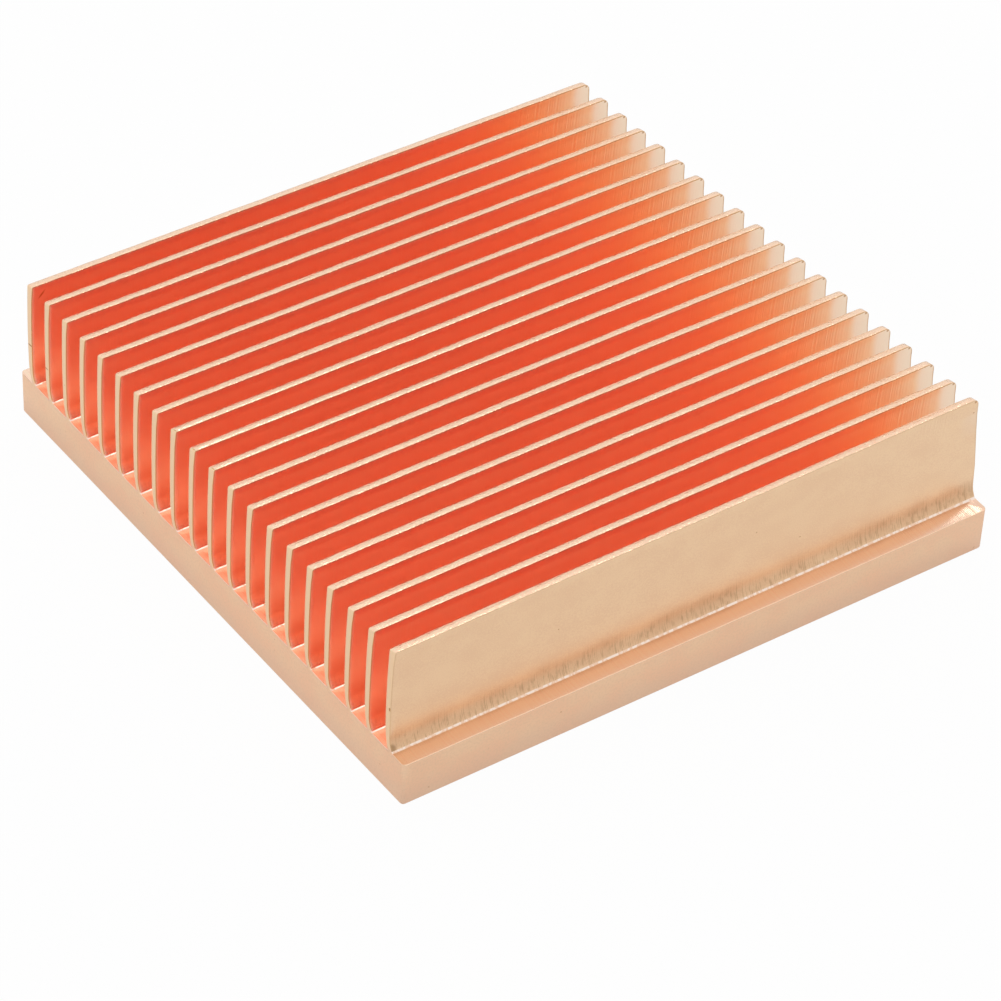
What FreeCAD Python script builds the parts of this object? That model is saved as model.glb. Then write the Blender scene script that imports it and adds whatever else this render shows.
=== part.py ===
import FreeCAD
import Part
import math
import os

# Skived copper heat sink: a square base with a comb of thin upright fins, all one piece of metal.
#
# A blade came over the block from the back (+Y) and cut towards the front (-Y). Each pass lifted a
# thin layer and stood it up as a fin. The inner side of each bend faces the front and meets the
# ground in a crease. The outer side faces the back and ends in a sharp notch, where the blade
# stopped. The ground between two fins is the blade's own path, so it falls a little to the front.
#
# +X runs along the fins, +Y from the front to the back and +Z up. The origin is the centre of the
# underside. Sizes are in millimetres.

# Whole block
length = 40.0
width = 40.0
height = 10.0
corner_radius = 0.15
bottom_edge_radius = 0.08

# Ground in front of the fins and between them
crease_height = 2.9
ground_slope_deg = 3.2
front_land = 1.07

# Comb
pitch = 1.96

# Foot of a fin: the front bend rises from the crease, and the back bend from the notch
crease_radius = 0.08
front_bend_run = 0.3
front_bend_rise = 0.9
root_thickness = 0.38
back_bend_rise = 1.5

# Blade of a fin: it bellies to the back above its waist and flares to its tip. It twists a little
# on its way to the right: its tip leans forward at the left end and backward at the right end.
waist_thickness = 0.4
neck_thickness = 0.455
tip_thickness = 0.54
flare_height = 1.2
left_tip_lean = 0.17
right_tip_lean = -0.23
tip_slant = 0.15
front_bow = 0.05
back_bow = 0.07
flare_bow = 0.01

# Ends of the fins: the upper part of the right-hand ends leans in from the base's end face
right_end_lean = 0.38
lean_start = 2.5
right_corner_radius = 0.45
left_corner_radius = 0.1
waste_margin = 1.0


def point(y, z):
    """A point of the section, drawn where X is 0."""
    return FreeCAD.Vector(0, y, z)


def line(start, end):
    return Part.LineSegment(start, end).toShape()


def arc_about(centre, start, end):
    """The shorter arc from start to end round centre."""
    half_way = (start - centre) + (end - centre)
    middle = centre + half_way.normalize() * (start - centre).Length
    return Part.Arc(start, middle, end).toShape()


def bowed_middle(low, high, bow):
    """The middle of a face from low to high that bulges to the back by bow."""
    chord = high - low
    back = FreeCAD.Vector(0, chord.z, -chord.y).normalize()
    return (low + high) * 0.5 + back * bow


def bend_centre(top, foot):
    """Centre of the arc that is upright at top and comes forward to foot."""
    rise = top.z - foot.z
    run = top.y - foot.y
    radius = (rise ** 2 + run ** 2) / (2 * run)
    return point(top.y - radius, top.z)


def crease_round(crease, centre, radius):
    """Centre of the small round in the crease, and the direction of the ground's normal.

    It lies crease_radius above the ground, and touches the front bend's circle from inside.
    """
    slope = math.radians(ground_slope_deg)
    along = FreeCAD.Vector(0, math.cos(slope), math.sin(slope))
    up = FreeCAD.Vector(0, -math.sin(slope), math.cos(slope))
    above = crease + up * crease_radius
    offset = above - centre
    reach = radius - crease_radius
    shadow = offset.dot(along)
    travel = -shadow + math.sqrt(shadow ** 2 + reach ** 2 - offset.dot(offset))
    return above + along * travel, up


def fin_outline(crease_y, tip_lean):
    """Edges of one fin, from the ground in front of it over the tip to the notch behind it."""
    crease = point(crease_y, crease_height)
    notch_drop = (pitch - root_thickness) * math.tan(math.radians(ground_slope_deg))
    notch = point(crease_y + root_thickness, crease_height - notch_drop)

    front_waist = crease + FreeCAD.Vector(0, front_bend_run, front_bend_rise)
    back_waist = point(front_waist.y + waist_thickness, notch.z + back_bend_rise)
    back_tip = point(back_waist.y - tip_lean, height - tip_slant)
    front_tip = point(back_tip.y - tip_thickness, height)

    back_face = Part.Arc(back_tip, bowed_middle(back_waist, back_tip, back_bow), back_waist)
    neck_z = height - flare_height
    across_neck = Part.LineSegment(point(crease_y - pitch, neck_z), point(crease_y + pitch, neck_z))
    neck_y = back_face.intersect(across_neck)[0].Y
    front_neck = point(neck_y - neck_thickness, neck_z)
    front_middle = bowed_middle(front_waist, front_neck, front_bow)
    flare_middle = bowed_middle(front_neck, front_tip, flare_bow)

    centre = bend_centre(front_waist, crease)
    radius = front_waist.y - centre.y
    round_centre, up = crease_round(crease, centre, radius)
    round_start = round_centre - up * crease_radius
    round_end = centre + (round_centre - centre) * (radius / (radius - crease_radius))

    edges = [
        arc_about(round_centre, round_start, round_end),
        arc_about(centre, round_end, front_waist),
        Part.Arc(front_waist, front_middle, front_neck).toShape(),
        Part.Arc(front_neck, flare_middle, front_tip).toShape(),
        line(front_tip, back_tip),
        back_face.toShape(),
        arc_about(bend_centre(back_waist, notch), back_waist, notch),
    ]
    return round_start, edges, notch


def comb_section(x, tip_lean):
    """Outline of the base with every fin standing on it, at one place along X."""
    front = -width / 2
    back = width / 2
    fin_depth = front_bend_run + waist_thickness + back_bow
    fin_count = int((width - front_land - fin_depth) / pitch) + 1

    fall = math.tan(math.radians(ground_slope_deg))
    land_edge = point(front, crease_height - front_land * fall)
    edges = [line(point(front, 0), land_edge)]
    ground_start = land_edge
    for number in range(fin_count):
        crease_y = front + front_land + number * pitch
        ground_end, outline, notch = fin_outline(crease_y, tip_lean)
        edges.append(line(ground_start, ground_end))
        edges.extend(outline)
        ground_start = notch

    back_edge = point(back, ground_start.z + (back - ground_start.y) * fall)
    edges.append(line(ground_start, back_edge))
    edges.append(line(back_edge, point(back, 0)))
    edges.append(line(point(back, 0), point(front, 0)))
    section = Part.Wire(edges)
    section.translate(FreeCAD.Vector(x, 0, 0))
    return section


def rounded_block():
    """The block's outer form, with soft upright corners and a soft bottom edge."""
    corner = FreeCAD.Vector(-length / 2, -width / 2, 0)
    block = Part.makeBox(length, width, height, corner)
    upright = [edge for edge in block.Edges if edge.tangentAt(edge.FirstParameter).z ** 2 > 0.5]
    block = block.makeFillet(corner_radius, upright)
    bottom = [edge for edge in block.Edges if edge.BoundBox.ZMax < corner_radius / 2]
    return block.makeFillet(bottom_edge_radius, bottom)


def end_waste(end, inwards, lean, radius):
    """What comes off the fins at one end, so that they lean in and have a round top corner.

    end is the X of the end face, and inwards is the sign of X from there into the fins.
    """
    front = -width / 2
    into = FreeCAD.Vector(inwards, 0, 0)
    up = FreeCAD.Vector(0, 0, 1)
    foot = FreeCAD.Vector(end, front, crease_height + lean_start)
    corner = FreeCAD.Vector(end, front, height) + into * lean
    down_edge = (foot - corner).normalize()
    tangent = radius / math.tan(into.getAngle(down_edge) / 2)
    on_top = corner + into * tangent
    on_edge = corner + down_edge * tangent
    over_top = on_top + up * waste_margin
    outside = FreeCAD.Vector(end, front, over_top.z) - into * waste_margin
    beside_foot = foot - into * waste_margin
    outline = [
        line(foot, on_edge),
        arc_about(on_top - up * radius, on_edge, on_top),
        line(on_top, over_top),
        line(over_top, outside),
        line(outside, beside_foot),
        line(beside_foot, foot),
    ]
    return Part.Face(Part.Wire(outline)).extrude(FreeCAD.Vector(0, width, 0))


def heat_sink():
    """The whole piece: the comb from its left end to its right, then softened where it ends."""
    left_end = comb_section(-length / 2, left_tip_lean)
    right_end = comb_section(length / 2, right_tip_lean)
    body = Part.makeLoft([left_end, right_end], True, True)
    body = body.common(rounded_block())
    body = body.cut(end_waste(-length / 2, 1, 0, left_corner_radius))
    body = body.cut(end_waste(length / 2, -1, right_end_lean, right_corner_radius))
    return body.Solids[0]


os.makedirs("parts", exist_ok=True)
piece = heat_sink()
piece.exportStep("parts/heat_sink.step")
print("volume", round(piece.Volume, 2), "mm3, valid", piece.isValid())
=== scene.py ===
import itertools
import math

import bmesh
import bpy
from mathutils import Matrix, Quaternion, Vector, noise


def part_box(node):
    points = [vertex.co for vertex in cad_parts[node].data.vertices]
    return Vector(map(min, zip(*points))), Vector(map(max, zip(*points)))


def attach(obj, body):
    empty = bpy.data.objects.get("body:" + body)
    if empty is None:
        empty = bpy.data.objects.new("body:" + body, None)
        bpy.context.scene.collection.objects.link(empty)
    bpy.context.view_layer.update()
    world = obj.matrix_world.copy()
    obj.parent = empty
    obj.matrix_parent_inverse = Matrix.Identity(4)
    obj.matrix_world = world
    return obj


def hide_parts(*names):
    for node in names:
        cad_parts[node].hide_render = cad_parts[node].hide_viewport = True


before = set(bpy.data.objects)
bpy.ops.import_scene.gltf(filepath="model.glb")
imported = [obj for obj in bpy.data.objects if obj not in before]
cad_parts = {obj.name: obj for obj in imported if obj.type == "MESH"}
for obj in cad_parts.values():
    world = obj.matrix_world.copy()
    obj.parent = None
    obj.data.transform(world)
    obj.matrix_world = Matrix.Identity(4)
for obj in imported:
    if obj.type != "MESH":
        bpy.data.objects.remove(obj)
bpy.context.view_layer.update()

# Skived copper heat sink on a plain studio floor, run as a script.
#
# The block is modelled as a designer would by hand: a slab is cut into strips, the narrow strips
# are pulled up into fins, and the edges are softened. Each kind of surface gets its own finish,
# and then the fins get the twist and the small unevenness that the skiving blade leaves.

bl_info = {
    "name": "Skived Copper Heat Sink",
    "version": (1, 1, 0),
    "blender": (4, 5, 0),
    "location": "3D View > Sidebar > Heat Sink",
    "description": "Models a skived copper heat sink and the studio that it stands in",
    "category": "Add Mesh",
}

MM = 0.001
MICRON = 0.000001
PIECE_NAME = "heat_sink_copper"
block_low, block_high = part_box("heat_sink")
LENGTH = block_high.x - block_low.x
WIDTH = block_high.y - block_low.y
HEIGHT = block_high.z

# Room for rounding where a test compares places
SLACK = 0.01 * MM

# An edge that turns by more than this is softened, and is shaded as an edge
SHARP_ANGLE = math.radians(50)


def length_property(name, description, millimetres):
    return bpy.props.FloatProperty(
        name=name, description=description, default=millimetres * MM, unit="LENGTH", precision=5)


def colour_property(name, description, colour):
    return bpy.props.FloatVectorProperty(
        name=name, description=description, default=colour, size=3, min=0.0, max=1.0,
        subtype="COLOR")


def level_property(name, description, level):
    return bpy.props.FloatProperty(name=name, description=description, default=level, min=0.0)


class HeatSinkSizes(bpy.types.PropertyGroup):
    """Sizes of the block and its fins."""
    fin_count: bpy.props.IntProperty(
        name="Fins", description="How many fins stand on the block", default=20, min=1)
    pitch: length_property("Pitch", "From one crease to the next", 1.96)
    front_land: length_property("Front land", "Bare strip in front of the first crease", 1.07)
    crease_height: length_property("Crease height", "Height of the crease over the underside", 2.9)
    ground_slope: bpy.props.FloatProperty(
        name="Ground slope", description="Fall of the ground towards the front",
        default=math.radians(3.2), subtype="ANGLE")
    crease_radius: length_property("Crease radius", "Round in the crease", 0.17)
    front_bend_run: length_property("Front bend run", "How far the front bend goes back", 0.3)
    front_bend_rise: length_property("Front bend rise", "Height of the front bend", 0.9)
    root_thickness: length_property("Root thickness", "Fin thickness from crease to notch", 0.38)
    back_bend_rise: length_property("Back bend rise", "Height of the back bend", 1.5)
    waist_thickness: length_property("Waist thickness", "Fin thickness over its bends", 0.4)
    neck_thickness: length_property("Neck thickness", "Fin thickness below its tip", 0.455)
    tip_thickness: length_property("Tip thickness", "Fin thickness at its tip", 0.54)
    flare_height: length_property("Flare height", "From the neck to the tip", 1.2)
    left_tip_lean: length_property("Left tip lean", "Forward lean of the tips, left end", 0.17)
    right_tip_lean: length_property("Right tip lean", "Forward lean of the tips, right end", -0.23)
    tip_slant: length_property("Tip slant", "Fall of the tip's top to the back", 0.13)
    lip_width: length_property("Lip width", "Front part of the tip's top, up to its ridge", 0.1)
    lip_drop: length_property("Lip drop", "Fall of that part to the front, left end", 0.025)
    right_lip_drop: length_property("Right lip drop", "The same at the right end", 0.006)
    front_bow: length_property("Front bow", "Bulge of the front face to the back", 0.05)
    back_bow: length_property("Back bow", "Bulge of the back face to the back", 0.07)
    right_end_lean: length_property("Right end lean", "How far the right ends lean in", 0.38)
    lean_start: length_property("Lean start", "Height over the crease where that begins", 2.5)
    right_corner: length_property("Right corner", "Radius of the fins' right top corners", 0.45)
    left_corner: length_property("Left corner", "Radius of the fins' left top corners", 0.1)
    block_corner: length_property("Block corner", "Radius of the block's upright edges", 0.22)
    bottom_edge: length_property("Bottom edge", "Radius of the block's bottom edge", 0.08)
    fin_edge: length_property("Fin edge", "Softening of the fins' edges", 0.03)
    rim_width: length_property("Rim width", "Strip at the land's front that is rolled down", 0.1)
    column: length_property("Column", "Spacing of the cuts along the fins", 0.4)


class CopperLook(bpy.types.PropertyGroup):
    """Colours and roughness of the bare copper, with some colours that paint light and shade."""
    blade: colour_property("Blade", "Freshly cut faces of the fins", (0.998, 0.715, 0.60))
    right_end_tone: colour_property("Right end tone", "The same near the fins' right ends", (0.998, 0.73, 0.455))
    # Painted light: a pale strip at the fins' right ends, where light comes into the gaps
    painted_end_light: colour_property("Painted end light", "Pale strip at the fins' right ends", (0.99, 0.79, 0.60))
    outer: colour_property(
        "Outer", "Front of the first fin, the block's old top", (0.955, 0.688, 0.447))
    ground: colour_property("Ground", "Ground between the fins", (0.99, 0.76, 0.57))
    land: colour_property("Land", "Ground in front of the first fin", (0.875, 0.61, 0.45))
    milled: colour_property("Milled", "Milled sides and ends of the block", (0.955, 0.68, 0.465))
    fin_end: colour_property("Fin end", "Milled ends of the fins", (0.97, 0.71, 0.46))
    # Painted shade: a darker, pinker colour low on the block, where its sides mirror the shadowed
    # floor
    low_painted_shade: colour_property("Painted shade", "Duller metal low on the block", (0.74, 0.54, 0.44))
    torn: colour_property("Torn", "Torn metal on the tips", (0.998, 0.72, 0.51))
    # Painted highlight: a near-white colour for the bright line along the creases
    pressed: colour_property("Pressed", "Bright metal in the creases", (0.99, 0.94, 0.88))
    stain: colour_property("Stain", "Smeared metal above the creases", (0.51, 0.25, 0.09))
    # A dark line along the fins' ends and just under their tips. Under the tips it is a painted
    # dark reflection of their lower edges
    dark_edge_line: colour_property("Dark edge line", "Thin burrs along the fins' edges", (0.72, 0.45, 0.21))
    blade_roughness: level_property("Blade roughness", "Roughness of the fins' faces", 0.32)
    ground_roughness: level_property("Ground roughness", "Roughness of the ground", 0.22)
    milled_roughness: level_property("Milled roughness", "Roughness of the block's sides", 0.45)


class StudioSettings(bpy.types.PropertyGroup):
    """Camera, floor, lamp and room."""
    azimuth: bpy.props.FloatProperty(
        name="Azimuth", description="Direction the camera looks in, from +Y to +X",
        default=math.radians(36.867), subtype="ANGLE")
    elevation: bpy.props.FloatProperty(
        name="Elevation", description="Height angle of the camera",
        default=math.radians(39.189), subtype="ANGLE")
    roll: bpy.props.FloatProperty(
        name="Roll", description="Turn of the camera about its own axis",
        default=math.radians(3.018), subtype="ANGLE")
    distance: length_property("Distance", "From the camera to its target", 230.85)
    target: bpy.props.FloatVectorProperty(
        name="Target", description="Point that the camera looks at",
        default=(-4.65 * MM, -6.783 * MM, 5.0 * MM), size=3, subtype="TRANSLATION")
    lens: bpy.props.FloatProperty(
        name="Lens", description="Focal length in millimetres", default=148.92)
    floor_colour: colour_property("Floor", "Colour of the floor", (0.85, 0.85, 0.85))
    floor_seen: level_property("Floor seen", "Share of white that the camera sees there", 0.965)
    floor_mirrored: level_property("Floor mirrored", "The same in reflections", 0.4)
    lamp_place: bpy.props.FloatVectorProperty(
        name="Lamp place", description="Middle of the overhead lamp",
        default=(0.182, 0.125, 0.4), size=3, subtype="TRANSLATION")
    lamp_length: length_property("Lamp length", "Size of the lamp along X", 140)
    lamp_width: length_property("Lamp width", "Size of the lamp along Y", 90)
    lamp_level: level_property("Lamp level", "Brightness of the lamp's face, 1 is white", 4.5)
    sky_level: level_property("Sky level", "Brightness of the room around the lamp", 0.82)
    sky_tilt: level_property("Sky tilt", "How much brighter the room is at the back", 0.8)
    mirror_level: level_property("Mirror level", "Brightness of the room in reflections", 0.95)


class Wire:
    """A socket of a node tree. A sum, difference or product with it adds a Math node."""

    def __init__(self, graph, socket):
        self.graph = graph
        self.socket = socket

    def __add__(self, other):
        return self.graph.math("ADD", self, other)

    def __radd__(self, other):
        return self.graph.math("ADD", other, self)

    def __sub__(self, other):
        return self.graph.math("SUBTRACT", self, other)

    def __rsub__(self, other):
        return self.graph.math("SUBTRACT", other, self)

    def __mul__(self, other):
        return self.graph.math("MULTIPLY", self, other)

    def __rmul__(self, other):
        return self.graph.math("MULTIPLY", other, self)


class Graph:
    """The node tree of a material or of the world."""

    # Sockets of a Mix node that blends colours
    MIX_FIRST = 6
    MIX_SECOND = 7
    MIX_RESULT = 2

    def __init__(self, tree):
        self.tree = tree
        tree.nodes.clear()

    def node(self, kind, settings, sockets, output=0):
        """Adds a node with its settings, and fills its sockets with values or wires."""
        made = self.tree.nodes.new(kind)
        for name, value in settings.items():
            setattr(made, name, value)
        for name, value in sockets.items():
            if isinstance(value, Wire):
                self.tree.links.new(value.socket, made.inputs[name])
            else:
                made.inputs[name].default_value = value
        return Wire(self, made.outputs[output]) if made.outputs else None

    def math(self, operation, first, second):
        return self.node("ShaderNodeMath", {"operation": operation}, {0: first, 1: second})

    def vector(self, operation, first, second, output=0):
        return self.node(
            "ShaderNodeVectorMath", {"operation": operation}, {0: first, 1: second}, output)

    def millimetres(self):
        """Place on the object, in millimetres."""
        place = self.node("ShaderNodeTexCoord", {}, {}, "Object")
        return self.vector("MULTIPLY", place, (1 / MM,) * 3)

    def axis(self, place, name):
        return self.node("ShaderNodeSeparateXYZ", {}, {0: place}, name)

    def ease(self, value, low, high):
        """0 at low and 1 at high, or the other way round where low is the larger."""
        return self.node(
            "ShaderNodeMapRange", {"interpolation_type": "SMOOTHSTEP"},
            {"Value": value, "From Min": low, "From Max": high})

    def grain(self, place, counts, seed, detail=1.0):
        """Noise from 0 to 1, with about so many grains to the millimetre along X, Y and Z."""
        moved = self.node(
            "ShaderNodeVectorMath", {"operation": "MULTIPLY_ADD"},
            {0: place, 1: counts, 2: (seed, seed, seed)})
        return self.node(
            "ShaderNodeTexNoise", {}, {"Vector": moved, "Scale": 1.0, "Detail": detail})

    def lines(self, along, count, seed, detail=2.0):
        """Noise from 0 to 1 that changes along one direction only."""
        return self.node(
            "ShaderNodeTexNoise", {"noise_dimensions": "1D"},
            {"W": along * count + seed, "Scale": 1.0, "Detail": detail})

    def mix(self, factor, first, second):
        """Blends two colours: the first where factor is 0, and the second where it is 1."""
        colours = {
            number: colour if isinstance(colour, Wire) else (*colour, 1)
            for number, colour in ((self.MIX_FIRST, first), (self.MIX_SECOND, second))}
        return self.node(
            "ShaderNodeMix", {"data_type": "RGBA"}, {0: factor, **colours}, self.MIX_RESULT)

    def spot(self, place, centre, size, turn=(0, 0, 0)):
        """1 in the middle of an oval spot and 0 outside it."""
        inside = self.node(
            "ShaderNodeMapping", {"vector_type": "TEXTURE"},
            {"Vector": place, "Location": centre, "Rotation": turn, "Scale": size})
        reach = self.vector("LENGTH", inside, (0, 0, 0), "Value")
        return self.ease(reach, 1.0, 0.4)

    def metal(self, colour, roughness, height, bare=1.0):
        """Metal with relief in thousandths of a millimetre. It is stained, or carries a painted
        dark line, where bare is low.
        """
        relief = self.node(
            "ShaderNodeBump", {}, {"Strength": 1.0, "Distance": MICRON, "Height": height})
        shader = self.node(
            "ShaderNodeBsdfPrincipled", {},
            {"Base Color": colour, "Metallic": bare, "Roughness": roughness, "Normal": relief})
        self.node("ShaderNodeOutputMaterial", {}, {"Surface": shader})


def faded(colour, share):
    """A deeper tone of a copper colour: its red stays."""
    return (colour[0], colour[1] * share, colour[2] * share)


def darkened(colour, share):
    return tuple(share * part for part in colour)


def new_material(name):
    material = bpy.data.materials.new(name)
    material.use_nodes = True
    return material, Graph(material.node_tree)


# Small marks on the metal, and one spot of painted shade: middle and half size in millimetres, and
# turn. The marks at the tips' corners are one long spot that goes through all the fins.
SCRATCH = ((-19.3, 18.62, 9.2), (0.12, 0.5, 0.5), (0, 0.65, 0))
END_NICKS = (
    ((-20.0, 18.77, 5.57), (0.5, 0.3, 0.07), (0, 0, 0)),
    ((-20.0, 16.97, 5.07), (0.5, 0.3, 0.06), (0, 0, 0)),
    ((-20.0, -18.6, 5.76), (0.5, 0.12, 0.16), (0, 0, 0)),
)
# Painted shade in the front fin's root corner, at its left-hand end
ROOT_CORNER_SHADE = ((-19.95, -18.8, 3.05), (0.4, 0.6, 0.4), (0, 0, 0))
TIP_CORNERS = ((19.4, 0.0, 9.8), (0.13, 400.0, 0.12), (0, 0, 0))
FACE_SPECKS = (
    ((19.4, -18.6, 9.0), (0.09, 0.5, 0.07), (0, 0, 0)),
    ((4.1, -18.6, 7.1), (0.07, 0.5, 0.05), (0, 0, 0)),
    ((7.3, -18.6, 5.4), (0.08, 0.5, 0.05), (0, 0, 0)),
    ((-9.2, -18.6, 6.3), (0.06, 0.5, 0.05), (0, 0, 0)),
)

# Where the finishes, and the painted light and shade, change, in millimetres from the middle of
# the underside: two places along Y, five along X, and four along Z. A finish starts at the first
# value of its pair and is full at the second.
FIRST_FACE = (-18.42, -18.48)
LAND = (-18.8, -18.9)
RIGHT_END_RAMP = (9.5, 16.5)
# Painted light strip at the fins' right ends
END_LIGHT_STRIP = (18.5, 19.1)
SCORED_LEFT = (12.0, 15.5)
SCORED_RIGHT = (18.8, 17.2)
# Dark line at the fins' ends
END_LINE = (19.9, 19.95)
# Painted dark reflection just under the tips
TIP_DARK_LINE = (9.9, 9.94)
OVER_GROUND = (2.95, 3.1)
FIN_ENDS = (2.95, 3.3)
# Painted shade low on the block
LOW_SHADE_RAMP = (2.6, 0.6)


def milled_copper(look):
    """Sides and ends of the block: matte, a little clouded, with a fine even grain."""
    material, graph = new_material("milled_copper")
    place = graph.millimetres()
    up = graph.axis(place, "Z")
    clouds = graph.grain(place, (0.35, 0.35, 0.5), seed=1.0, detail=2.0)
    fine = graph.grain(place, (7, 7, 7), seed=2.0)
    specks = graph.ease(graph.grain(place, (2.6, 2.6, 2.6), seed=5.0), 0.76, 0.82)
    cloudy = graph.ease(clouds, 0.35, 0.65)
    colour = graph.mix(cloudy, look.milled, faded(look.milled, 0.94))
    colour = graph.mix(0.4 * graph.ease(fine, 0.4, 0.7), colour, darkened(look.milled, 0.88))
    # Painted shade low on the block, broken up by the clouds
    colour = graph.mix(0.35 * graph.ease(up + 1.2 * clouds, *LOW_SHADE_RAMP), colour, look.low_painted_shade)
    colour = graph.mix(graph.ease(up, *FIN_ENDS), colour, look.fin_end)
    marks = 0.5 * specks
    for nick in END_NICKS:
        marks = graph.math("MAXIMUM", marks, graph.spot(place, *nick))
    colour = graph.mix(marks, colour, look.stain)
    graph.metal(colour, look.milled_roughness, 2.5 * fine)
    return material


def skived_copper(look, sizes, with_root):
    """Faces of the fins, with upright lines, and with the smeared band above the crease."""
    material, graph = new_material("skived_root" if with_root else "skived_blade")
    place = graph.millimetres()
    along = graph.axis(place, "X")
    up = graph.axis(place, "Z")
    outer = graph.ease(graph.axis(place, "Y"), *FIRST_FACE)
    lines = graph.lines(along, 7.0, seed=12.0, detail=1.0)
    mottle = graph.grain(place, (0.5, 0.6, 0.7), seed=13.0)

    # The right-hand ends lean in, so the painted light strip and the dark edge line there follow
    # this instead of X
    lean_start = sizes.crease_height + sizes.lean_start
    lean = sizes.right_end_lean / (HEIGHT - lean_start)
    right = along + lean * graph.math("MAXIMUM", up - lean_start / MM, 0.0)

    # A colour that changes towards the fins' right-hand ends
    near_end = graph.ease(along, *RIGHT_END_RAMP)
    bright = graph.mix(near_end, look.blade, look.right_end_tone)
    deep = graph.mix(near_end, faded(look.blade, 0.96), faded(look.right_end_tone, 0.95))
    fresh_and_end_light = graph.mix(graph.ease(mottle + 0.4 * lines, 0.5, 0.9), bright, deep)
    # Painted light: the pale strip at the fins' right ends, where light comes into the gaps
    fresh_and_end_light = graph.mix(graph.ease(right, *END_LIGHT_STRIP), fresh_and_end_light, look.painted_end_light)
    fine = graph.grain(place, (12, 9, 14), seed=61.0)
    dull = darkened(faded(look.outer, 0.96), 0.95)
    old_top = graph.mix(graph.ease(fine + 0.6 * mottle, 0.6, 1.0), look.outer, dull)
    colour = graph.mix(outer, fresh_and_end_light, old_top)

    scored = graph.ease(along, *SCORED_LEFT) * graph.ease(along, *SCORED_RIGHT)
    height = (4 + 7 * scored) * lines
    end = graph.math("MAXIMUM", right, -1 * along)
    # A dark line along the fins' ends
    dark_edge_line = graph.ease(end, *END_LINE) * graph.ease(up, *OVER_GROUND)
    if with_root:
        above = up - sizes.crease_height / MM
        streaks = graph.lines(along, 19.0, seed=16.0)
        patches = graph.grain(place, (5, 1, 2.2), seed=17.0)
        edge = above - 0.9 * (mottle - 0.5) - 0.7 * (streaks - 0.5)
        band = graph.ease(edge, 0.8 + 0.7 * outer, 0.1 + 0.2 * outer)
        smear = band * (0.08 + 0.27 * outer) * graph.ease(above, -0.15, 0.25)
        dashes = graph.ease(streaks + patches, 1.0, 1.25)
        dashes = dashes * graph.ease(edge, 0.6 + 0.5 * outer, 0.3) * (0.25 + 0.3 * outer)
        # Darker dashes of smeared metal, and painted shade in the root corner at the left-hand end
        dashes_and_corner_shade = graph.math("MAXIMUM", dashes, graph.spot(place, *ROOT_CORNER_SHADE))
        colour = graph.mix(smear, colour, look.stain)
        colour = graph.mix(0.6 * dashes_and_corner_shade, colour, darkened(look.stain, 0.5))
        height = height + 3 * (band * streaks)
        roughness = look.blade_roughness + 0.3 * smear
        bare = 1 - 0.5 * outer * smear
    else:
        marks = graph.spot(place, *SCRATCH)
        for mark in (TIP_CORNERS, *FACE_SPECKS):
            marks = graph.math("MAXIMUM", marks, graph.spot(place, *mark))
        colour = graph.mix(0.75 * marks, colour, look.stain)
        # Just under the tips the dark line is a painted dark reflection along their lower edges,
        # and the metal there is less metallic
        dark_edge_line = graph.math("MAXIMUM", graph.ease(up + 0.05 * lines, *TIP_DARK_LINE), dark_edge_line)
        roughness = look.blade_roughness
        bare = 1 - 0.3 * dark_edge_line
    # The dark line is painted, and it is fainter on the first fin's front
    colour = graph.mix(dark_edge_line * (1 - 0.6 * outer), colour, look.dark_edge_line)
    graph.metal(colour, roughness, height, bare)
    return material


def skived_back(look):
    """Backs of the fins, which slid off the blade: smooth, with faint upright lines."""
    material, graph = new_material("skived_back")
    place = graph.millimetres()
    lines = graph.lines(graph.axis(place, "X"), 5.0, seed=51.0, detail=1.0)
    colour = graph.mix(graph.ease(lines, 0.3, 0.7), look.blade, faded(look.blade, 0.96))
    graph.metal(colour, look.blade_roughness, 2 * lines)
    return material


def skived_ground(look):
    """The blade's own path, on the land and between the fins, with lines from front to back."""
    material, graph = new_material("skived_ground")
    place = graph.millimetres()
    lines = graph.lines(graph.axis(place, "X"), 10.0, seed=21.0)
    on_land = graph.ease(graph.axis(place, "Y"), *LAND)
    tone = graph.mix(on_land, look.ground, look.land)
    deep = graph.mix(on_land, faded(look.ground, 0.85), faded(look.land, 0.88))
    colour = graph.mix(0.6 * graph.ease(lines, 0.4, 0.65), tone, deep)
    graph.metal(colour, look.ground_roughness, (16 - 7 * on_land) * lines)
    return material


def torn_copper(look):
    """Tops of the fins and the land's front edge: torn metal that sparkles."""
    material, graph = new_material("torn_copper")
    place = graph.millimetres()
    tears = graph.grain(place, (7, 12, 12), seed=31.0)
    coarse = graph.grain(place, (1.5, 5, 5), seed=32.0)
    colour = graph.mix(graph.ease(tears, 0.35, 0.6), faded(look.torn, 0.93), look.torn)
    roughness = 0.06 + 0.28 * coarse
    graph.metal(colour, roughness, 36 * tears + 22 * coarse)
    return material


def pressed_crease(look):
    """The crease in front of a fin, with a painted highlight in broken dashes: a near-white colour
    along its round.
    """
    material, graph = new_material("pressed_crease")
    place = graph.millimetres()
    dashes = graph.grain(place, (3.2, 2, 1), seed=41.0, detail=2.0)
    outer = graph.ease(graph.axis(place, "Y"), *FIRST_FACE)
    # Painted highlight in dashes along the crease, fainter on the first crease
    bright = graph.ease(dashes - 0.1 * outer, 0.32, 0.45)
    colour = graph.mix(bright, look.land, look.pressed)
    colour = graph.mix(0.5 * outer, colour, look.land)
    roughness = 0.26 - 0.16 * bright
    graph.metal(colour, roughness, 5 * dashes)
    return material


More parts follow.
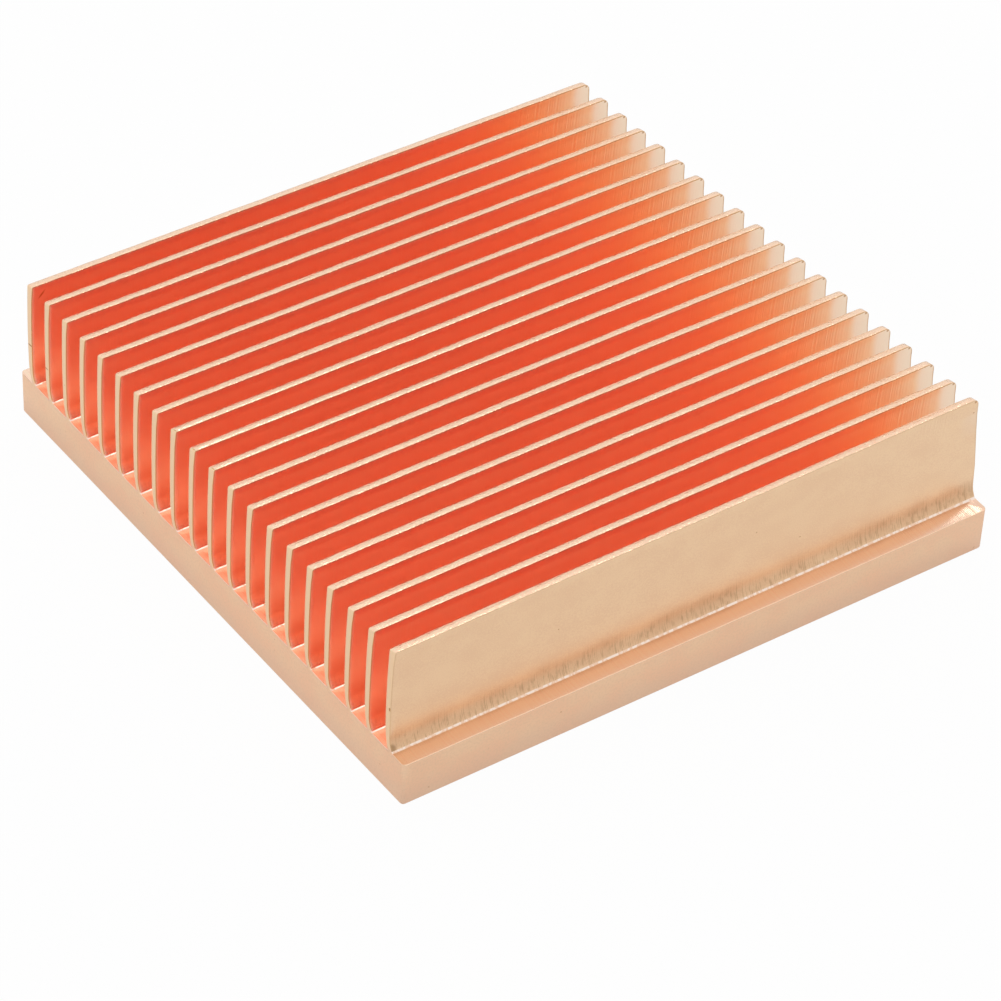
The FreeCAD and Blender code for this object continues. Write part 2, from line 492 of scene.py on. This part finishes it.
def pick(mesh, kind, test):
    """Selects the faces, edges or vertices of a mesh in edit mode that pass the test."""
    shape = bmesh.from_edit_mesh(mesh)
    for part in itertools.chain(shape.verts, shape.edges, shape.faces):
        part.select = False
    chosen = [part for part in getattr(shape, kind) if test(part)]
    for part in chosen:
        part.select_set(True)
    shape.select_flush_mode()
    bmesh.update_edit_mesh(mesh)
    if not chosen:
        raise RuntimeError("nothing was found to select among the " + kind)


def near(value, place, margin=0.002 * MM):
    return abs(value - place) < margin


def bowed(low, high, bow, share):
    """A point on a shallow arc from low to high, bulging to the back by bow."""
    across = Vector((high.y, -high.x)) - Vector((low.y, -low.x))
    return low.lerp(high, share) + across.normalized() * (4 * bow * share * (1 - share))


def bend_point(top, foot, height):
    """A point on the arc that is upright at top and comes forward to foot. Points are (y, z)."""
    rise = top.y - foot.y
    run = top.x - foot.x
    radius = (rise ** 2 + run ** 2) / (2 * run)
    drop = top.y - height
    return Vector((top.x - radius + math.sqrt(radius ** 2 - drop ** 2), height))


class FinSection:
    """Section of one fin, as (y, z) points from its crease, front and back in step."""

    # Where the points lie, as shares of the height of each bend and of the blade, of the way from
    # the neck to the tip, and of the turn of the round in the crease
    BEND_SHARES = (0.4, 0.7, 1.0)
    BLADE_SHARES = (0.25, 0.5, 0.75, 1.0)
    BACK_BEND_SHARES = (0.0, 0.015, 0.05, 0.075, 0.1, 0.33, 0.62, 1.0)
    BACK_BLADE_SHARES = (0.18, 0.39, 0.6, 0.8, 0.885, 1.0)
    FLARE_SHARE = 0.42
    ROUND_SHARES = (0.0, 0.18, 0.64, 0.82, 1.0)
    ROUND_STEPS = len(ROUND_SHARES) - 1

    def __init__(self, sizes, tip_lean):
        slope = sizes.ground_slope
        notch_drop = (sizes.pitch - sizes.root_thickness) * math.tan(slope)
        crease = Vector((0.0, sizes.crease_height))
        notch = Vector((sizes.root_thickness, sizes.crease_height - notch_drop))
        front_waist = crease + Vector((sizes.front_bend_run, sizes.front_bend_rise))
        back_waist = Vector((front_waist.x + sizes.waist_thickness, notch.y + sizes.back_bend_rise))
        back_tip = Vector((back_waist.x - tip_lean, HEIGHT - sizes.tip_slant))
        front_tip = Vector((back_tip.x - sizes.tip_thickness, HEIGHT - sizes.lip_drop))
        neck_z = HEIGHT - sizes.flare_height
        neck_share = (neck_z - back_waist.y) / (back_tip.y - back_waist.y)
        neck_back = bowed(back_waist, back_tip, sizes.back_bow, neck_share)
        front_neck = Vector((neck_back.x - sizes.neck_thickness, neck_z))

        round_points, round_end = self.crease_round(sizes, crease, front_waist)
        self.front = list(round_points)
        for share in self.BEND_SHARES:
            height = round_end.y + (front_waist.y - round_end.y) * share
            self.front.append(bend_point(front_waist, crease, height))
        for share in self.BLADE_SHARES:
            self.front.append(bowed(front_waist, front_neck, sizes.front_bow, share))
        self.front.append(front_neck.lerp(front_tip, self.FLARE_SHARE))
        self.front.append(front_tip)

        self.back = []
        for share in self.BACK_BEND_SHARES:
            height = notch.y + (back_waist.y - notch.y) * share
            self.back.append(bend_point(back_waist, notch, height))
        for share in self.BACK_BLADE_SHARES:
            self.back.append(bowed(back_waist, back_tip, sizes.back_bow, share))

    def crease_round(self, sizes, crease, front_waist):
        """Points of the small round in the crease, from the ground up to the bend."""
        slope = sizes.ground_slope
        along = Vector((math.cos(slope), math.sin(slope)))
        up = Vector((-math.sin(slope), math.cos(slope)))
        rise = front_waist.y - crease.y
        run = front_waist.x - crease.x
        radius = (rise ** 2 + run ** 2) / (2 * run)
        centre = Vector((front_waist.x - radius, front_waist.y))
        above = crease + up * sizes.crease_radius
        offset = above - centre
        reach = radius - sizes.crease_radius
        shadow = offset.dot(along)
        travel = -shadow + math.sqrt(shadow ** 2 + reach ** 2 - offset.length_squared)
        middle = above + along * travel
        start = middle - up * sizes.crease_radius
        end = centre + (middle - centre) * (radius / reach)
        turn = (start - middle).angle(end - middle)
        points = []
        for share in self.ROUND_SHARES:
            angle = slope - math.pi / 2 + turn * share
            points.append(middle + Vector((math.cos(angle), math.sin(angle))) * sizes.crease_radius)
        return points, end


def crease_places(sizes):
    """Y of every crease, from the front to the back."""
    first = -WIDTH / 2 + sizes.front_land
    return [first + number * sizes.pitch for number in range(sizes.fin_count)]


def cut_across(place, direction):
    bpy.ops.mesh.select_all(action="SELECT")
    bpy.ops.mesh.bisect(plane_co=place, plane_no=direction)


def move_picked(offset):
    bpy.ops.transform.translate(value=offset)


def model_slab(sizes, section):
    """A slab as high as the creases, cut into the strips of the fins and of the ground."""
    bpy.ops.mesh.primitive_cube_add(
        size=1, location=(0, 0, sizes.crease_height / 2),
        scale=(LENGTH, WIDTH, sizes.crease_height))
    piece = bpy.context.active_object
    piece.name = PIECE_NAME
    bpy.ops.object.transform_apply(location=True, rotation=False, scale=True)
    bpy.ops.object.mode_set(mode="EDIT")
    for crease in crease_places(sizes):
        cut_across((0, crease + section.front[0].x, 0), (0, 1, 0))
        cut_across((0, crease + section.back[0].x, 0), (0, 1, 0))
    return piece


def slope_ground(mesh, sizes, section):
    """Lowers each strip of ground to the front, as the blade left it."""
    fall = math.tan(sizes.ground_slope)
    creases = crease_places(sizes)

    def lower(places, drop):
        def is_there(vert):
            on_top = near(vert.co.z, sizes.crease_height)
            return on_top and any(near(vert.co.y, place) for place in places)

        pick(mesh, "verts", is_there)
        move_picked((0, 0, -drop))

    starts = [crease + section.front[0].x for crease in creases]
    notches = [crease + section.back[0].x for crease in creases]
    back_drop = sizes.crease_height - section.back[0].y - (WIDTH / 2 - notches[-1]) * fall
    lower(starts, sizes.crease_height - section.front[0].y)
    lower(notches, sizes.crease_height - section.back[0].y)
    lower([-WIDTH / 2], sizes.front_land * fall)
    lower([WIDTH / 2], back_drop)


def raise_fins(mesh, sizes, section):
    """Pulls the narrow strips up through the stations of the fin's section."""
    creases = crease_places(sizes)

    def pick_tops(station):
        middle = (section.front[station] + section.back[station]) / 2

        def is_top(face):
            centre = face.calc_center_median()
            at_fin = any(near(centre.y, crease + middle.x) for crease in creases)
            return at_fin and near(centre.z, middle.y) and len(face.verts) == 4

        bpy.ops.mesh.select_mode(type="FACE")
        pick(mesh, "faces", is_top)

    pick_tops(0)
    for station in range(1, len(section.front)):
        front_step = section.front[station] - section.front[station - 1]
        back_step = section.back[station] - section.back[station - 1]
        bpy.ops.mesh.extrude_region_move(
            TRANSFORM_OT_translate={"value": (0, front_step.x, front_step.y)})
        shape = bmesh.from_edit_mesh(mesh)
        back_verts = set()
        for face in shape.faces:
            if face.select:
                middle_y = face.calc_center_median().y
                back_verts.update(vert.index for vert in face.verts if vert.co.y > middle_y)
        bpy.ops.mesh.select_mode(type="VERT")
        pick(mesh, "verts", lambda vert: vert.index in back_verts)
        extra = back_step - front_step
        move_picked((0, extra.x, extra.y))
        pick_tops(station)
    bpy.ops.mesh.select_mode(type="VERT")


def lean_right_ends(mesh, sizes):
    """Leans the upper part of the fins' right-hand ends in."""
    start = sizes.crease_height + sizes.lean_start
    shape = bmesh.from_edit_mesh(mesh)
    for vert in shape.verts:
        if vert.co.x > 0 and vert.co.z > start:
            vert.co.x -= sizes.right_end_lean * (vert.co.z - start) / (HEIGHT - start)
    bmesh.update_edit_mesh(mesh)


def bevel_picked(width, segments):
    bpy.ops.mesh.bevel(offset=width, segments=segments, affect="EDGES", clamp_overlap=False)


def round_tip_corners(mesh, sizes):
    """Rounds the fins' top corners, little at their left ends and more at their right ends."""
    bpy.ops.mesh.select_mode(type="EDGE")
    tip_low = HEIGHT - sizes.tip_slant - SLACK

    def is_tip_end(edge):
        low = min(vert.co.z for vert in edge.verts)
        across = abs(edge.verts[0].co.x - edge.verts[1].co.x) < 0.05 * MM
        return low > tip_low and across

    pick(mesh, "edges", lambda edge: is_tip_end(edge) and edge.verts[0].co.x > 0)
    bevel_picked(sizes.right_corner, segments=5)
    left_end = -LENGTH / 2 + SLACK
    pick(mesh, "edges", lambda edge: is_tip_end(edge) and edge.verts[0].co.x < left_end)
    bevel_picked(sizes.left_corner, segments=2)


def lift_ridges(mesh, sizes, section):
    """Folds the top of each fin along a ridge, so that its front part falls to the front."""
    low = HEIGHT - sizes.right_corner - sizes.tip_slant
    ridge = section.front[-1].x + sizes.lip_width
    span = (section.front[-1].x + 2 * SLACK, section.back[-1].x - 2 * SLACK)
    fall = section.front[-1].y - section.back[-1].y
    rise = sizes.lip_drop + fall * sizes.lip_width / sizes.tip_thickness
    ridges = [crease + ridge for crease in crease_places(sizes)]
    for place in ridges:
        start = place - ridge + span[0]
        end = place - ridge + span[1]

        def is_top(face):
            centre = face.calc_center_median()
            on_fin = start < centre.y < end
            return on_fin and centre.z > low and len(face.verts) == 4

        bpy.ops.mesh.select_mode(type="FACE")
        pick(mesh, "faces", is_top)
        bpy.ops.mesh.bisect(plane_co=(0, place, 0), plane_no=(0, 1, 0))
    bpy.ops.mesh.select_mode(type="VERT")
    pick(mesh, "verts", lambda vert: vert.co.z > low and any(near(vert.co.y, y) for y in ridges))
    bpy.ops.transform.shrink_fatten(value=rise)


def soften_edges(mesh, sizes):
    """Rounds the block's edges and then every outer edge of the comb."""
    bpy.ops.mesh.select_mode(type="EDGE")

    def is_block_corner(edge):
        ends = [vert.co for vert in edge.verts]
        upright = near(ends[0].x, ends[1].x) and near(ends[0].y, ends[1].y)
        return upright and all(
            near(abs(end.x), LENGTH / 2) and near(abs(end.y), WIDTH / 2) for end in ends)

    pick(mesh, "edges", is_block_corner)
    bevel_picked(sizes.block_corner, segments=4)

    def is_bottom_edge(edge):
        level = all(near(vert.co.z, 0) for vert in edge.verts)
        faces = [face.normal.z < -0.5 for face in edge.link_faces]
        return level and any(faces) and not all(faces)

    pick(mesh, "edges", is_bottom_edge)
    bevel_picked(sizes.bottom_edge, segments=2)

    def is_outer_edge(edge):
        if min(vert.co.z for vert in edge.verts) < sizes.crease_height / 2:
            return False
        if edge.is_convex and edge.calc_face_angle(0) > SHARP_ANGLE:
            return True
        on_end = [abs(face.normal.x) > 0.7 for face in edge.link_faces]
        return any(on_end) and not all(on_end)

    pick(mesh, "edges", is_outer_edge)
    bevel_picked(sizes.fin_edge, segments=2)


def cut_columns(sizes):
    """Cuts the comb across its fins, so that they can twist and be uneven, and along its rim."""
    start = -LENGTH / 2 + sizes.column
    end = LENGTH / 2 - 2 * sizes.column
    count = round((end - start) / sizes.column)
    for number in range(count + 1):
        cut_across((start + (end - start) * number / count, 0, 0), (1, 0, 0))
    cut_across((0, -WIDTH / 2 + sizes.rim_width, 0), (0, 1, 0))


class Zones:
    """Tells the kinds of surface apart on the straight comb, by place and normal."""

    def __init__(self, sizes, section):
        self.first_crease = crease_places(sizes)[0]
        self.pitch = sizes.pitch
        self.ground_low = section.back[0].y - 0.03 * MM
        self.ground_high = section.front[0].y + 0.005 * MM
        self.round_start = section.front[0].x - SLACK
        self.round_end = 0.12 * MM
        self.round_top = section.front[FinSection.ROUND_STEPS].y + 0.005 * MM
        self.root_top = section.front[len(FinSection.BEND_SHARES) + FinSection.ROUND_STEPS + 1].y
        self.tip_low = HEIGHT - sizes.tip_slant - 0.04 * MM
        self.rim_back = -WIDTH / 2 + 0.04 * MM

    def from_crease(self, centre):
        """How far behind the nearest crease a place is. It is negative in front of it."""
        offset = centre.y - self.first_crease
        return offset - self.pitch * math.floor(offset / self.pitch + 0.5)

    def is_crease(self, face):
        centre = face.calc_center_median()
        low = self.ground_low < centre.z < self.round_top
        behind = self.round_start < self.from_crease(centre) < self.round_end
        return low and behind and abs(face.normal.x) < 0.5

    def is_ground(self, face):
        centre = face.calc_center_median()
        return face.normal.z > 0.9 and self.ground_low < centre.z < self.ground_high

    def is_root(self, face):
        centre = face.calc_center_median()
        return face.normal.y < -0.5 and self.ground_low < centre.z < self.root_top

    def is_blade(self, face):
        centre = face.calc_center_median()
        return abs(face.normal.x) < 0.7 and centre.z > self.ground_low

    def is_back(self, face):
        centre = face.calc_center_median()
        return face.normal.y > 0.5 and centre.z > self.ground_low

    def is_torn(self, face):
        """Tops of the fins, and the softened front edge of the land."""
        centre = face.calc_center_median()
        on_tip = centre.z > self.tip_low and face.normal.z > 0.8
        rim = centre.y < self.rim_back and centre.z > self.ground_low
        return on_tip or (rim and 0.1 < face.normal.z < 0.99)


def give_finishes(piece, sizes, section, look):
    """Gives each kind of surface its own material. Later ones take over from earlier ones."""
    mesh = piece.data
    zones = Zones(sizes, section)
    mesh.materials.append(milled_copper(look))
    finishes = (
        (skived_copper(look, sizes, with_root=False), zones.is_blade),
        (skived_back(look), zones.is_back),
        (skived_copper(look, sizes, with_root=True), zones.is_root),
        (skived_ground(look), zones.is_ground),
        (pressed_crease(look), zones.is_crease),
        (torn_copper(look), zones.is_torn),
    )
    bpy.ops.mesh.select_mode(type="FACE")
    for material, test in finishes:
        mesh.materials.append(material)
        piece.active_material_index = len(mesh.materials) - 1
        pick(mesh, "faces", test)
        bpy.ops.object.material_slot_assign()


def level_lips(mesh, sizes, section):
    """Lifts the fins' lips towards their right-hand ends, where they fall less to the front."""
    zones = Zones(sizes, section)
    ridge = section.front[-1].x + sizes.lip_width
    for vert in mesh.vertices:
        if vert.co.z > zones.tip_low:
            forward = max(0.0, ridge - zones.from_crease(vert.co)) / sizes.lip_width
            lift = 1 - (0.5 - vert.co.x / LENGTH) ** 2.5
            vert.co.z += (sizes.lip_drop - sizes.right_lip_drop) * lift * min(forward, 1.0)


def twist_fins(mesh, sizes):
    """Shifts the fins to the back towards their right-hand ends, more and more to the tip."""
    start = sizes.crease_height + (sizes.front_bend_rise + sizes.back_bend_rise) / 2
    tip = HEIGHT - sizes.tip_slant
    most = sizes.left_tip_lean - sizes.right_tip_lean
    for vert in mesh.vertices:
        if vert.co.z > start:
            along = vert.co.x / LENGTH + 0.5
            vert.co.y += most * along * (vert.co.z - start) / (tip - start)


# Unevenness of the comb, as swings: the size of each in millimetres, how many of them there are to
# the millimetre, and a seed
LEAN_SWINGS = ((0.03, 0.06, 1.7), (0.012, 0.3, 5.2))
TIP_SWINGS = ((0.014, 0.9, 3.1), (0.012, 0.25, 8.4))
TIP_SIDE_SWINGS = ((0.008, 1.1, 6.6),)
RIM_SWINGS = ((0.02, 0.9, 2.3), (0.01, 1.9, 4.9))
TIP_DROP = 0.015 * MM
RIM_DROP = 0.022 * MM
NOISE_STEP = 7.31


def wander(along, fin, swings):
    """Smooth noise along one fin, made of several swings. Each fin has its own."""
    return MM * sum(
        size * noise.noise(Vector((along / MM * count, fin * NOISE_STEP, seed)))
        for size, count, seed in swings)


def make_uneven(mesh, sizes, section):
    """Lets the fins stand a little unevenly, and their tips and the land's rim be ragged."""
    first = crease_places(sizes)[0]
    blade_low = sizes.crease_height + sizes.front_bend_rise
    tip_low = HEIGHT - sizes.tip_slant - 5 * SLACK
    for vert in mesh.vertices:
        x, y, z = vert.co
        fin = math.floor((y - first) / sizes.pitch + 0.35)
        if z > blade_low:
            share = (z - blade_low) / (HEIGHT - blade_low)
            vert.co.y += wander(x, fin, LEAN_SWINGS) * share
        if z > tip_low:
            vert.co.z += wander(x, fin, TIP_SWINGS) - TIP_DROP
            vert.co.y += wander(x, fin, TIP_SIDE_SWINGS)
        at_rim = y < -WIDTH / 2 + 5 * SLACK and z > section.back[0].y - 2 * SLACK
        if at_rim and abs(x) < LENGTH / 2 - sizes.block_corner:
            vert.co.z += wander(x, 0, RIM_SWINGS) - RIM_DROP


class HEATSINK_OT_heat_sink(bpy.types.Operator):
    """Model the copper block with its fins and finish its surfaces"""
    bl_idname = "heatsink.heat_sink"
    bl_label = "Heat Sink"

    def execute(self, context):
        sizes = context.scene.heatsink_sizes
        section = FinSection(sizes, sizes.left_tip_lean)
        bpy.ops.object.select_all(action="DESELECT")
        piece = model_slab(sizes, section)
        mesh = piece.data
        slope_ground(mesh, sizes, section)
        raise_fins(mesh, sizes, section)
        lean_right_ends(mesh, sizes)
        round_tip_corners(mesh, sizes)
        lift_ridges(mesh, sizes, section)
        soften_edges(mesh, sizes)
        cut_columns(sizes)
        give_finishes(piece, sizes, section, context.scene.heatsink_look)
        bpy.ops.object.mode_set(mode="OBJECT")
        level_lips(mesh, sizes, section)
        twist_fins(mesh, sizes)
        make_uneven(mesh, sizes, section)
        bpy.ops.object.shade_smooth_by_angle(angle=SHARP_ANGLE)
        # The largest face at a vertex decides which way the surface seems to point there
        modifier = piece.modifiers.new("Weighted normals", "WEIGHTED_NORMAL")
        modifier.keep_sharp = True
        modifier.weight = 100
        bpy.ops.object.modifier_apply(modifier=modifier.name)
        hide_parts("heat_sink")
        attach(piece, "root")
        return {"FINISHED"}


def seen_share(graph, camera, mirror):
    """How much of the plain white a ray gets: camera rays, and rays of gloss and glass."""
    rays = {
        name: graph.node("ShaderNodeLightPath", {}, {}, name)
        for name in ("Is Camera Ray", "Is Glossy Ray", "Is Transmission Ray")}
    return (camera * rays["Is Camera Ray"] + mirror * rays["Is Glossy Ray"]
            + mirror * rays["Is Transmission Ray"])


# Direction in which the room is brighter
BRIGHT_SIDE = (-0.15, 0.6, 0.0)


def paint_room(settings):
    """A pale room, brighter at the back. The camera sees it white, and metal nearly so."""
    world = bpy.data.worlds.new("studio")
    bpy.context.scene.world = world
    world.use_nodes = True
    world.cycles.sampling_method = "NONE"
    graph = Graph(world.node_tree)
    direction = graph.node("ShaderNodeTexCoord", {}, {}, "Generated")
    tilt = graph.vector("DOT_PRODUCT", direction, BRIGHT_SIDE, "Value")
    sky = settings.sky_level * (1 + settings.sky_tilt * tilt)
    level = seen_share(graph, 1.0, settings.mirror_level) + (1 - seen_share(graph, 1.0, 1.0)) * sky
    room = graph.node(
        "ShaderNodeBackground", {}, {"Color": (1, 1, 1, 1), "Strength": level})
    graph.node("ShaderNodeOutputWorld", {}, {"Surface": room})


# Side of the floor, in metres
FLOOR_SIZE = 4


def lay_floor(settings):
    """A pale floor that the camera sees nearly white, with the piece's shadow on it."""
    bpy.ops.mesh.primitive_plane_add(size=FLOOR_SIZE)
    floor = bpy.context.active_object
    floor.name = "floor"
    material, graph = new_material("floor")
    paint = graph.node(
        "ShaderNodeBsdfPrincipled", {},
        {"Base Color": (*settings.floor_colour, 1), "Roughness": 1.0})
    white = graph.node("ShaderNodeEmission", {}, {"Color": (1, 1, 1, 1), "Strength": 1.0})
    share = seen_share(graph, settings.floor_seen, settings.floor_mirrored)
    surface = graph.node("ShaderNodeMixShader", {}, {0: share, 1: paint, 2: white})
    graph.node("ShaderNodeOutputMaterial", {}, {"Surface": surface})
    floor.data.materials.append(material)


def hang_lamp(settings):
    bpy.ops.object.light_add(type="AREA", location=settings.lamp_place)
    lamp = bpy.context.active_object
    lamp.name = "overhead_lamp"
    lamp.data.shape = "RECTANGLE"
    lamp.data.size = settings.lamp_length
    lamp.data.size_y = settings.lamp_width
    face = settings.lamp_length * settings.lamp_width
    lamp.data.energy = settings.lamp_level * math.pi * face


def aim_camera(settings):
    forward = Vector((
        math.sin(settings.azimuth) * math.cos(settings.elevation),
        math.cos(settings.azimuth) * math.cos(settings.elevation),
        -math.sin(settings.elevation)))
    bpy.ops.object.camera_add(location=Vector(settings.target) - forward * settings.distance)
    camera = bpy.context.active_object
    camera.name = "camera"
    camera.rotation_mode = "QUATERNION"
    roll = Quaternion((0, 0, 1), settings.roll)
    camera.rotation_quaternion = forward.to_track_quat("-Z", "Y") @ roll
    camera.data.lens = settings.lens
    camera.data.clip_start = 0.01
    bpy.context.scene.camera = camera


class HEATSINK_OT_studio(bpy.types.Operator):
    """Lay the floor, hang the lamp and aim the camera"""
    bl_idname = "heatsink.studio"
    bl_label = "Studio"

    def execute(self, context):
        settings = context.scene.heatsink_studio
        bpy.ops.object.select_all(action="DESELECT")
        lay_floor(settings)
        hang_lamp(settings)
        paint_room(settings)
        aim_camera(settings)
        context.scene.view_settings.view_transform = "Standard"
        # Light bounces many times between two fins before it leaves the gap, and glossy filtering
        # would dull it each time
        context.scene.cycles.max_bounces = 12
        context.scene.cycles.glossy_bounces = 12
        context.scene.cycles.blur_glossy = 0.0
        return {"FINISHED"}


class HEATSINK_PT_panel(bpy.types.Panel):
    bl_idname = "HEATSINK_PT_panel"
    bl_label = "Heat Sink"
    bl_space_type = "VIEW_3D"
    bl_region_type = "UI"
    bl_category = "Heat Sink"

    def draw(self, context):
        self.layout.operator(HEATSINK_OT_studio.bl_idname)
        self.layout.operator(HEATSINK_OT_heat_sink.bl_idname)


CLASSES = (
    HeatSinkSizes, CopperLook, StudioSettings,
    HEATSINK_OT_heat_sink, HEATSINK_OT_studio, HEATSINK_PT_panel,
)


def register():
    for cls in CLASSES:
        bpy.utils.register_class(cls)
    bpy.types.Scene.heatsink_sizes = bpy.props.PointerProperty(type=HeatSinkSizes)
    bpy.types.Scene.heatsink_look = bpy.props.PointerProperty(type=CopperLook)
    bpy.types.Scene.heatsink_studio = bpy.props.PointerProperty(type=StudioSettings)


def unregister():
    del bpy.types.Scene.heatsink_studio
    del bpy.types.Scene.heatsink_look
    del bpy.types.Scene.heatsink_sizes
    for cls in reversed(CLASSES):
        bpy.utils.unregister_class(cls)


def main():
    register()
    bpy.ops.heatsink.studio()
    bpy.ops.heatsink.heat_sink()


if __name__ == "__main__":
    main()
